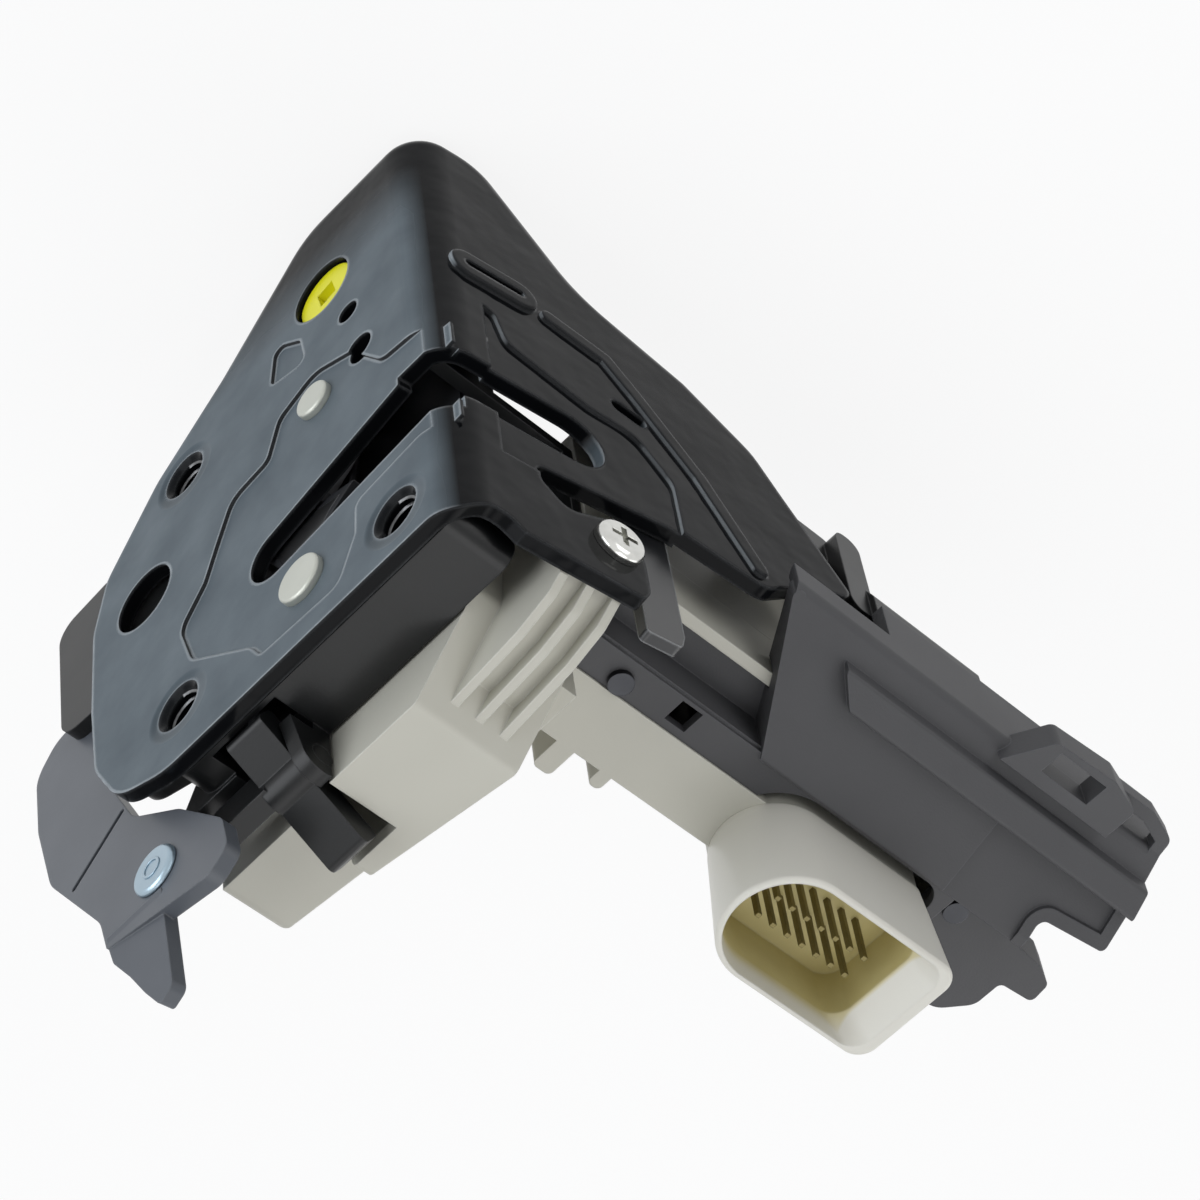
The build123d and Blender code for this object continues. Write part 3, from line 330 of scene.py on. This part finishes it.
# The normal's X where the satin face with its painted sheen begins and where it is whole, and the
# same for the height.
SATIN_SHEEN_BEGINS = -0.7
SATIN_SHEEN_WHOLE = -0.97
CORNER_Z = -88.0 * MM
SATIN_SHEEN_Z = -72.0 * MM
# The pale edge colour of the gloss coat is partly bare steel and partly a painted highlight.
coated_plate = finish("black_dipped_coat_on_pressed_steel", GLOSS_BLACK, "#0f1012", 0.08, grain=1.2,
                      relief=0.004, patch=15.0, spread=0.06, specular=0.05, edge=0.9,
                      worn_and_lit_edge=BARE_AND_LIT_EDGE, wear_and_highlight=0.18, wave=0.35)
tree = coated_plate.node_tree
where = add_node(tree, "ShaderNodeTexCoord")
normal = add_node(tree, "ShaderNodeSeparateXYZ", i0=where.outputs["Normal"])
place = add_node(tree, "ShaderNodeSeparateXYZ", i0=where.outputs["Object"])
faces_out = ramp(tree, normal.outputs["X"], SATIN_SHEEN_BEGINS, SATIN_SHEEN_WHOLE)
below_corner = ramp(tree, place.outputs["Z"], CORNER_Z, SATIN_SHEEN_Z)
# The face's grey-blue colour, in two tones by patches, is a painted sheen laid over a rougher satin
# coat.
second_skin(coated_plate, times(tree, faces_out, below_corner), PAINTED_SHEEN_FACE, "#4a5258",
            roughness=0.38, spread=0.12, patch=11.0, worn_and_lit_edge="#c3c8cb", wear_and_highlight=0.7)
coated_lever = finish("satin_dipped_coat_on_lever", "#565a60", "#4a4e54", 0.4, grain=0.4,
                      relief=0.012, patch=14.0, specular=0.4, edge=0.4, worn_and_lit_edge=BARE_AND_LIT_EDGE, wear_and_highlight=0.3)
coated_blade = finish("black_coat_with_sheared_edge", "#1a1b1d", "#222326", 0.3, grain=0.4,
                      relief=0.02, edge=0.5, worn_and_lit_edge="#b8babb", wear_and_highlight=0.8)
print("coated steel", [m.name for m in (coated_plate, coated_lever, coated_blade)])


# %% [markdown]
# Round each tapped hole the face is pressed into a shallow dish, which the solids leave out. Its
# wall is relief: the distance from the axis of the hole, eased from the foot of the wall to its
# top. The nearest of the three holes counts, so the least of the three heights is taken.

# %% Dishes round the tapped holes
TAPPED_HOLES = ((0.0, 0.0), (-45.5, -3.5), (-43.5, -61.0))
DISH_INNER = 4.1 * MM
DISH_OUTER = 6.4 * MM
DISH_DEPTH = 1.3 * MM


def dish_height(tree, place, y, z):
    """Nought inside the dish of the hole at Y and Z, and one outside it."""
    across = add_node(tree, "ShaderNodeCombineXYZ", Y=place.outputs["Y"], Z=place.outputs["Z"])
    reach = add_node(tree, "ShaderNodeVectorMath",
                     {"operation": "DISTANCE", 1: (0.0, y * MM, z * MM)}, i0=across.outputs[0])
    return add_node(tree, "ShaderNodeMapRange",
                    {"interpolation_type": "SMOOTHSTEP", "From Min": DISH_INNER,
                     "From Max": DISH_OUTER}, Value=reach.outputs["Value"]).outputs[0]


first_hole, *other_holes = TAPPED_HOLES
height = dish_height(tree, place, *first_hole)
for hole in other_holes:
    height = add_node(tree, "ShaderNodeMath", {"operation": "MINIMUM"},
                      i0=height, i1=dish_height(tree, place, *hole)).outputs[0]
add_relief(tree, height, DISH_DEPTH, strength=1.0)
print("dishes", len(TAPPED_HOLES), "depth", round(DISH_DEPTH / MM, 2), "mm")


# %% [markdown]
# Rivets, pins and springs are bare, ground, headed or plated steel. A rivet head is burnished by
# the tool that forms it and looks pale and soft, while zinc passivation gives the lever's rivet a
# blue cast. Metals keep the default IOR: their colour and roughness do the work.

# %% Bare and plated metal
inner_steel = finish("dark_oiled_steel", "#3a3b3e", "#4a4b4e", 0.42, metallic=0.6, grain=0.6)
ground_steel = finish("ground_hard_steel", "#8d8e90", "#7c7d80", 0.34, metallic=1.0, grain=0.3)
headed_steel = finish("headed_rivet_steel", "#c4c6bd", "#b3b5ac", 0.42, metallic=0.55, grain=0.5,
                      edge=0.3)
spring_steel = finish("drawn_spring_wire", "#85868a", "#9a9b9e", 0.3, metallic=1.0, grain=0.2)
zinc_rivet = finish("blue_zinc_rivet", "#aebfca", "#8fa5b3", 0.3, metallic=0.8, grain=0.5)
bright_screw = finish("bright_plated_screw", "#dcdcd8", "#c4c4c0", 0.16, metallic=1.0, grain=0.8,
                      relief=0.01, patch=1.5, spread=0.14)
dark_zinc = finish("dark_zinc_screw", "#4c4d50", "#36373a", 0.3, metallic=1.0, grain=0.4)
tinned_brass = finish("dull_brass_contact", "#7e7347", "#665c36", 0.42, metallic=0.6, grain=0.4)
turned_steel = finish("turned_steel", "#a3a4a6", "#8f9092", 0.3, metallic=1.0, grain=0.25)
cut_thread = finish("cut_thread_in_coated_steel", "#8e8f90", "#3a3b3d", 0.3, metallic=0.9, grain=0.3,
                    patch=0.8)
print("metals", len([m for m in bpy.data.materials if "steel" in m.name or "zinc" in m.name]))


# %% [markdown]
# The mouldings are glass-filled nylon and acetal. Spark-eroded moulds leave a grain of a few
# tenths of a millimetre, which scatters the light and makes the plastic look matt. The black parts
# carry less grain. On the black, white and grey nylon the edges are painted paler, as a painted
# highlight along each edge.

# %% Moulded plastics
# The pale edge colours of the black, white and grey nylon below are a painted highlight along each
# edge.
black_nylon = finish("black_moulded_nylon", "#0c0d0e", "#131415", 0.34, grain=0.5, relief=0.02,
                     specular=0.3, edge=0.3, worn_and_lit_edge="#4c4d4f", wear_and_highlight=0.4)
white_nylon = finish("off_white_moulded_nylon", "#c4c2b7", "#b8b6aa", 0.42, grain=0.7, relief=0.02,
                     patch=25.0, edge=0.35, worn_and_lit_edge="#f0efe8", wear_and_highlight=0.6)
grey_nylon = finish("grey_spark_grained_nylon", "#49494b", "#404042", 0.55, grain=0.4, relief=0.05,
                    patch=18.0, specular=0.35, edge=0.3, worn_and_lit_edge="#7b7c80", wear_and_highlight=0.4)
yellow_acetal = finish("yellow_moulded_acetal", "#e6e21a", "#dcd815", 0.4, grain=0.6, relief=0.015)
overmould = finish("black_overmould_elastomer", "#1d1e21", "#232427", 0.48, grain=0.4)
rubber = finish("black_buffer_rubber", "#121214", "#1a1a1c", 0.62, grain=0.5)
slider_acetal = finish("natural_acetal", "#e3dfd2", "#d8d3c4", 0.42, grain=0.6)
link_acetal = finish("red_acetal", "#b4402a", "#a63a26", 0.42, grain=0.6)
print("finishes so far", len(bpy.data.materials))


# %% [markdown]
# Where the two halves of the mould met, the housing has a faint raised line all round it. It is a
# third of a millimetre wide here, the least that shows, and drawn as relief at one height.

# %% Parting line of the housing
PARTING_Z = -22.0 * MM
PARTING_HALF = 0.17 * MM
PARTING_HEIGHT = 0.12 * MM
tree = white_nylon.node_tree
height_of = add_node(tree, "ShaderNodeSeparateXYZ",
                     i0=add_node(tree, "ShaderNodeTexCoord").outputs["Object"])
off_line = add_node(tree, "ShaderNodeMath", {"operation": "SUBTRACT", 1: PARTING_Z},
                    i0=height_of.outputs["Z"])
off_line = add_node(tree, "ShaderNodeMath", {"operation": "ABSOLUTE"}, i0=off_line.outputs[0])
on_line = ramp(tree, off_line.outputs[0], PARTING_HALF, 0.0)
add_relief(tree, on_line, PARTING_HEIGHT, strength=0.8)
print("parting line at", round(PARTING_Z / MM, 1), "mm")


# %% [markdown]
# The connector is natural nylon. Outside it is a clean warm white. Inside the cavity, where the
# contacts are sealed in, it is painted a darker olive: painted shade, tinted by light that comes
# through the wall. Its cavity has a round end and straight sides, so the distance from the line
# down its middle tells inside from outside.

# %% Connector nylon
CONNECTOR_Y = -12.2 * MM
ROUND_END_X = 85.8 * MM
FAR_WALL_X = 105.7 * MM
CAVITY_HALF = 9.15 * MM
OLIVE_SHADE_FROM_Z = 12.2 * MM
OLIVE_SHADE_WHOLE_Z = 8.7 * MM
SIDE_BLEND = 0.25 * MM
END_BLEND = 0.4 * MM
connector_nylon = finish("warm_white_connector_nylon_with_painted_cavity_shade", "#dedcd3", "#d4d1c6", 0.36, grain=0.8,
                         relief=0.012, patch=20.0, edge=0.5)
tree = connector_nylon.node_tree
where = add_node(tree, "ShaderNodeTexCoord")
place = add_node(tree, "ShaderNodeSeparateXYZ", i0=where.outputs["Object"])
past_round = add_node(tree, "ShaderNodeMath", {"operation": "SUBTRACT", 1: ROUND_END_X},
                      i0=place.outputs["X"])
past_round = add_node(tree, "ShaderNodeMath", {"operation": "MINIMUM", 1: 0.0},
                      i0=past_round.outputs[0])
off_middle = add_node(tree, "ShaderNodeMath", {"operation": "SUBTRACT", 1: CONNECTOR_Y},
                      i0=place.outputs["Y"])
spot = add_node(tree, "ShaderNodeCombineXYZ", X=past_round.outputs[0], Y=off_middle.outputs[0])
reach = add_node(tree, "ShaderNodeVectorMath", {"operation": "LENGTH"}, i0=spot.outputs[0])
within = ramp(tree, reach.outputs["Value"], CAVITY_HALF + SIDE_BLEND, CAVITY_HALF)
short_of_wall = ramp(tree, place.outputs["X"], FAR_WALL_X + END_BLEND, FAR_WALL_X)
below_mouth = ramp(tree, place.outputs["Z"], OLIVE_SHADE_FROM_Z, OLIVE_SHADE_WHOLE_Z)
inside = times(tree, times(tree, within, short_of_wall), below_mouth)
# The darker olive inside the cavity is painted shade, tinted by light through the wall.
second_skin(connector_nylon, inside, "#cfc48f", "#bdb078", roughness=0.4, spread=0.06, patch=6.0)
print("connector cavity half width", round(CAVITY_HALF / MM, 2), "mm")


# %% [markdown]
# Each CAD node takes the finish of the real piece.

# %% Finishes on the CAD nodes
NODE_FINISH = {
    "latch_plate": coated_plate, "latch_housing": black_nylon, "back_plate": inner_steel,
    "rotary_catch": ground_steel, "catch_overmould": overmould, "catch_rivet": headed_steel,
    "pawl": ground_steel, "pawl_rivet": headed_steel, "pawl_buffer": rubber,
    "catch_spring": spring_steel, "pawl_spring": spring_steel, "catch_switch": black_nylon,
    "emergency_lock_disc": yellow_acetal, "outer_release_lever": coated_lever,
    "lever_rivet": zinc_rivet, "release_fork": black_nylon, "inner_release_lever": coated_blade,
    "blade_pin": headed_steel, "tab_screw": bright_screw, "actuator_housing": white_nylon,
    "actuator_cover": grey_nylon, "rear_cover": black_nylon, "connector_shroud": connector_nylon,
    "contact_pins": tinned_brass, "lock_motor": turned_steel, "lead_screw": turned_steel,
    "slider": slider_acetal, "locking_link": link_acetal, "link_post": turned_steel,
    "cover_screws": dark_zinc,
}
for name, material in NODE_FINISH.items():
    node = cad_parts[name]
    node.data.materials.clear()
    node.data.materials.append(material)
print("dressed nodes", len(NODE_FINISH), "of", len(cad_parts))


# %% [markdown]
# The three big holes in the face are tapped for the screws that hold the latch in the door. The
# solids have plain bores, so the thread is drawn here: a small triangle on the wall of the bore,
# swept into a helix with the Screw modifier, which is how a thread is cut. One is made and copied.

# %% Threads in the tapped holes
BORE_RADIUS = 3.4 * MM
THREAD_PITCH = 1.25 * MM
THREAD_TURNS = 3.6
THREAD_START = 1.1 * MM
THREAD_SIZE = 0.32 * MM
THREAD_ROOT = 0.06 * MM
STEPS_PER_TURN = 36
SMOOTH_BELOW = radians(40)
TURNED = {"into the door": Matrix.Rotation(radians(90), 4, "Y"),
          "out of the face": Matrix.Rotation(radians(-90), 4, "Y"),
          "out of the arm": Matrix.Rotation(radians(90), 4, "X"),
          "down": Matrix.Rotation(radians(180), 4, "X")}


def seat(obj, place, facing):
    """Turn a piece made along Z to face another way, move it to its place and apply both."""
    deselect()
    obj.matrix_world = Matrix.Translation(Vector(place) * MM) @ TURNED[facing]
    obj.select_set(True)
    bpy.context.view_layer.objects.active = obj
    bpy.ops.object.transform_apply(location=True, rotation=True, scale=True)


def dress(obj, name, material, body):
    """Name a new piece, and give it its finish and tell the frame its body."""
    obj.name = name
    obj.data.materials.clear()
    obj.data.materials.append(material)
    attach(obj, body)


deselect()
bpy.ops.mesh.primitive_circle_add(vertices=3, radius=THREAD_SIZE,
                                  location=(BORE_RADIUS - THREAD_ROOT, 0, 0),
                                  rotation=(radians(90), radians(-90), 0))
thread = bpy.context.object
bpy.ops.object.transform_apply(location=True, rotation=True, scale=True)
screw = thread.modifiers.new("helix", "SCREW")
screw.angle = radians(360 * THREAD_TURNS)
screw.screw_offset = THREAD_PITCH * THREAD_TURNS
screw.steps = screw.render_steps = int(STEPS_PER_TURN * THREAD_TURNS)
bpy.ops.object.modifier_apply(modifier=screw.name)
bpy.ops.object.mode_set(mode="EDIT")
bpy.ops.mesh.select_all(action="DESELECT")
bpy.ops.mesh.select_non_manifold()
bpy.ops.mesh.fill_holes(sides=4)
bpy.ops.mesh.select_all(action="SELECT")
bpy.ops.mesh.normals_make_consistent(inside=False)
bpy.ops.object.mode_set(mode="OBJECT")
bpy.ops.object.shade_smooth_by_angle(angle=SMOOTH_BELOW)
for i, (y, z) in enumerate(TAPPED_HOLES):
    copy = thread.copy()
    copy.data = thread.data.copy()
    bpy.context.collection.objects.link(copy)
    seat(copy, (THREAD_START / MM, y, z), "into the door")
    dress(copy, "cut_thread_%d" % (i + 1), cut_thread, "base")
bpy.data.objects.remove(thread)
print("threads", len(TAPPED_HOLES), "turns", THREAD_TURNS, "pitch", THREAD_PITCH / MM, "mm")


# %% [markdown]
# Round marks tell how pieces were made. Ejector pins leave a faint ring where they push a moulding
# out of its mould, and the tool that forms a rivet leaves a ring on its head. Each is a flat ring:
# a circle is extruded outwards into a band, the band is raised, and its edges are bevelled.

# %% Ring marks
RING_SIDES = 48
RING_SUNK = 0.05
RING_HEIGHT = 0.12
RING_BEVEL = 0.05
HOUSING_RING = (2.1, 2.4)
REAR_RING = (2.6, 2.9)
RIVET_RING = (1.3, 1.8)
ARM_SIDE_Y = -17.2
REAR_Z = -46.0
EJECTOR_MARKS = ((44.0, ARM_SIDE_Y, -33.0), (64.0, ARM_SIDE_Y, -33.0), (68.0, ARM_SIDE_Y, -13.0),
                 (113.0, ARM_SIDE_Y, -33.0))
REAR_MARKS = ((48.0, -4.0, REAR_Z), (74.0, -4.0, REAR_Z), (106.0, -4.0, REAR_Z))
RIVET_HEAD = (4.5, -56.8, 18.3)


def ring(inner, outer):
    """A flat raised ring about Z, its foot just under the surface that it lies on."""
    deselect()
    bpy.ops.mesh.primitive_circle_add(vertices=RING_SIDES, radius=inner * MM,
                                      location=(0, 0, -RING_SUNK * MM))
    obj = bpy.context.object
    bpy.ops.object.mode_set(mode="EDIT")
    bpy.ops.mesh.select_all(action="SELECT")
    bpy.ops.mesh.extrude_edges_move()
    bpy.ops.transform.resize(value=(outer / inner, outer / inner, 1))
    bpy.ops.mesh.select_all(action="SELECT")
    raised = (0, 0, (RING_HEIGHT + RING_SUNK) * MM)
    bpy.ops.mesh.extrude_region_move(TRANSFORM_OT_translate={"value": raised})
    bpy.ops.mesh.select_all(action="SELECT")
    bpy.ops.mesh.normals_make_consistent(inside=False)
    bpy.ops.object.mode_set(mode="OBJECT")
    softened = obj.modifiers.new("softened", "BEVEL")
    softened.width = RING_BEVEL * MM
    softened.segments = 2
    bpy.ops.object.modifier_apply(modifier=softened.name)
    bpy.ops.object.shade_smooth_by_angle(angle=SMOOTH_BELOW)
    return obj


for i, at in enumerate(EJECTOR_MARKS):
    mark = ring(*HOUSING_RING)
    seat(mark, at, "out of the arm")
    dress(mark, "housing_ejector_mark_%d" % (i + 1), white_nylon, "base")
for i, at in enumerate(REAR_MARKS):
    mark = ring(*REAR_RING)
    seat(mark, at, "down")
    dress(mark, "rear_ejector_mark_%d" % (i + 1), black_nylon, "base")
mark = ring(*RIVET_RING)
seat(mark, RIVET_HEAD, "out of the face")
dress(mark, "lever_rivet_ring", zinc_rivet, "base")
print("ring marks", len(EJECTOR_MARKS) + len(REAR_MARKS) + 1)
